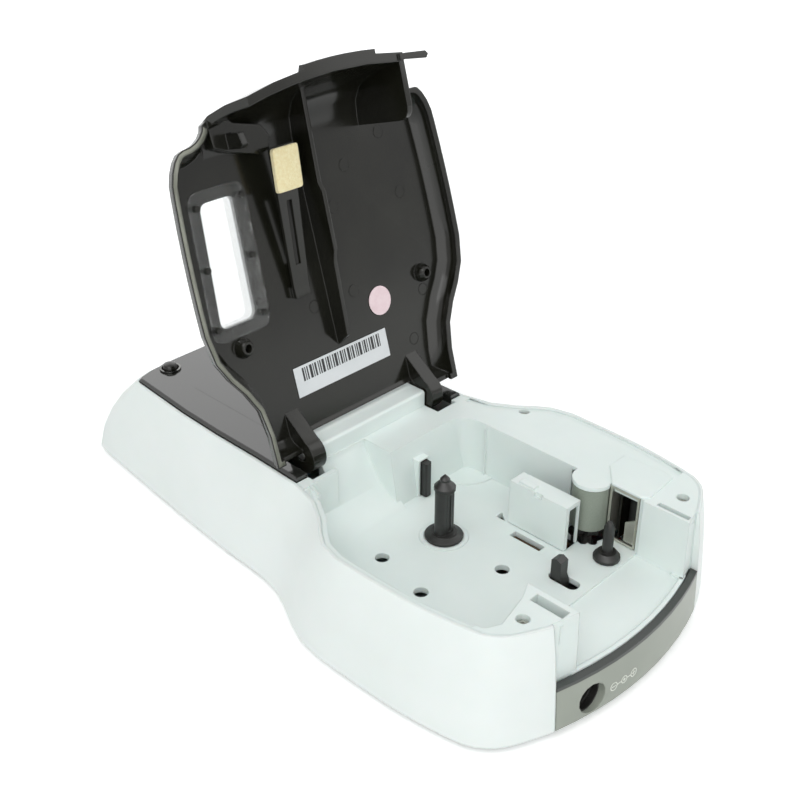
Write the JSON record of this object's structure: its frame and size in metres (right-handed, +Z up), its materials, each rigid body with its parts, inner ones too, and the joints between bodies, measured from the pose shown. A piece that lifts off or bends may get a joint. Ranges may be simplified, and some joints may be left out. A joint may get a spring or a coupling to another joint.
{
  "type": "handheld label printer",
  "caption": "Handheld label printer with touch panel, flip-up black cassette cover, open cassette bay, print head, roller, cutter and power inlet.",
  "frame": {"origin": "on the table under the middle of the body, with the cover standing open", "axes": "+Z up; +Y towards the front end, where labels come out; +X to the right, away from the cutter button; the grip end points to -Y"},
  "size_m": [0.1218, 0.2298, 0.1594],
  "materials": {
    "white_shell": "fine satin moulded plastic, cool white",
    "white_frame": "satin moulded plastic, cool white",
    "grey_strip": "dark grey satin strip",
    "black_plastic": "satin black plastic",
    "gloss_black": "glossy black moulded plastic",
    "panel_black": "high-gloss black face panel",
    "touch_glass": "dark touch glass",
    "steel": "plain steel",
    "bright_steel": "bright sheet steel",
    "screw_steel": "zinc plated steel",
    "motor_steel": "drawn steel can",
    "chrome_ring": "bright metal trim ring",
    "board_green": "green circuit board with black chips",
    "battery_wrap": "dark blue shrink-wrapped battery",
    "foot_rubber": "dark rubber",
    "brass": "plain brass",
    "gear_plastic": "natural acetal plastic",
    "roller_rubber": "light grey ground rubber",
    "heat_sink": "plain extruded aluminium",
    "head_ceramic": "blue-grey glazed ceramic",
    "clear_window": "clear window pane",
    "foam": "cream-brown felt foam pad",
    "paper_label": "white label stock with printed bars",
    "pink_label": "pink round label"
  },
  "bodies": {
    "case": {"lower_shell": "white_shell", "bay_frame": "white_frame", "front_strip": "grey_strip", "jack_socket": "black_plastic", "jack_pin": "steel", "face_panel": "panel_black", "touch_glass": "touch_glass", "display_module": "black_plastic", "button_ring": "chrome_ring", "main_board": "board_green", "battery_pack": "battery_wrap", "rubber_foot_1": "foot_rubber", "rubber_foot_2": "foot_rubber", "rubber_foot_3": "foot_rubber", "rubber_foot_4": "foot_rubber", "deck_screw_1": "screw_steel", "deck_screw_2": "screw_steel", "deck_screw_3": "screw_steel", "case_screw_1": "screw_steel", "case_screw_2": "screw_steel", "hinge_pin_right": "steel", "hinge_pin_left": "steel", "gear_plate": "steel", "drive_motor": "motor_steel", "head_cover": "white_frame", "tape_guide_post": "black_plastic", "cutter_plate": "bright_steel", "tape_clip": "bright_steel"},
    "cover": {"cover_shell": "gloss_black", "cover_window": "clear_window", "pressure_tongue": "black_plastic", "foam_pad": "foam", "barcode_label": "paper_label", "dot_sticker": "pink_label"},
    "platen": {"platen_roller": "roller_rubber", "platen_shaft": "steel", "platen_coupling": "black_plastic", "platen_gear": "gear_plastic"},
    "first_idler": {"first_idler_gear": "gear_plastic"},
    "second_idler": {"second_idler_gear": "gear_plastic"},
    "spindle": {"ribbon_spindle": "black_plastic", "spindle_gear": "gear_plastic"},
    "pinion": {"motor_pinion": "brass"},
    "head": {"print_head": "head_ceramic", "head_heat_sink": "heat_sink", "head_arm": "brass"},
    "lever": {"head_lever": "black_plastic"},
    "detent": {"cassette_detent": "black_plastic"},
    "cutter": {"cutter_slide": "black_plastic", "cutter_blade": "bright_steel", "cutter_button": "white_shell"},
    "power_key": {"power_button": "gloss_black"},
    "door": {"battery_door": "white_shell"}
  },
  "joints": [
    {"name": "cover_hinge", "type": "hinge", "parent": "case", "child": "cover", "pos_m": [0, 0.00195, 0.0416], "axis": [1, 0, 0], "range_deg": [-105.8, 0]},
    {"name": "platen_spin", "type": "hinge", "parent": "case", "child": "platen", "pos_m": [-0.0285, 0.07255, 0.0285], "axis": [0, 0, 1], "continuous": true},
    {"name": "first_idler_spin", "type": "hinge", "parent": "case", "child": "first_idler", "pos_m": [-0.03155, 0.05684, 0.0085], "axis": [0, 0, 1], "continuous": true},
    {"name": "second_idler_spin", "type": "hinge", "parent": "case", "child": "second_idler", "pos_m": [-0.01311, 0.04812, 0.0085], "axis": [0, 0, 1], "continuous": true},
    {"name": "spindle_spin", "type": "hinge", "parent": "case", "child": "spindle", "pos_m": [0.0063, 0.04185, 0.0285], "axis": [0, 0, 1], "continuous": true},
    {"name": "pinion_spin", "type": "hinge", "parent": "case", "child": "pinion", "pos_m": [-0.04407, 0.05418, 0.0085], "axis": [0, 0, 1], "continuous": true},
    {"name": "head_slide", "type": "slide", "parent": "case", "child": "head", "axis": [-1, 0, 0], "range_m": [0, 0.0012]},
    {"name": "lever_slide", "type": "slide", "parent": "case", "child": "lever", "axis": [0, 1, 0], "range_m": [0, 0.0038]},
    {"name": "detent_slide", "type": "slide", "parent": "case", "child": "detent", "axis": [0, -1, 0], "range_m": [0, 0.0015], "stiffness_N_per_m": 200, "springref_m": -0.001},
    {"name": "cutter_press", "type": "slide", "parent": "case", "child": "cutter", "axis": [1, 0, 0], "range_m": [0, 0.0035], "stiffness_N_per_m": 400, "springref_m": -0.002},
    {"name": "power_press", "type": "slide", "parent": "case", "child": "power_key", "axis": [0, 0, -1], "range_m": [0, 0.0005], "stiffness_N_per_m": 500, "springref_m": -0.0004},
    {"name": "door_slide", "type": "slide", "parent": "case", "child": "door", "axis": [0, -1, 0], "range_m": [0, 0.01]}
  ],
  "couplings": [
    {"joint": "first_idler_spin", "follows": "platen_spin", "ratio": -0.81818},
    {"joint": "second_idler_spin", "follows": "platen_spin", "ratio": 0.62069},
    {"joint": "spindle_spin", "follows": "platen_spin", "ratio": -0.81818},
    {"joint": "pinion_spin", "follows": "platen_spin", "ratio": 1.8},
    {"joint": "lever_slide", "follows": "head_slide", "ratio": 3.1}
  ]
}
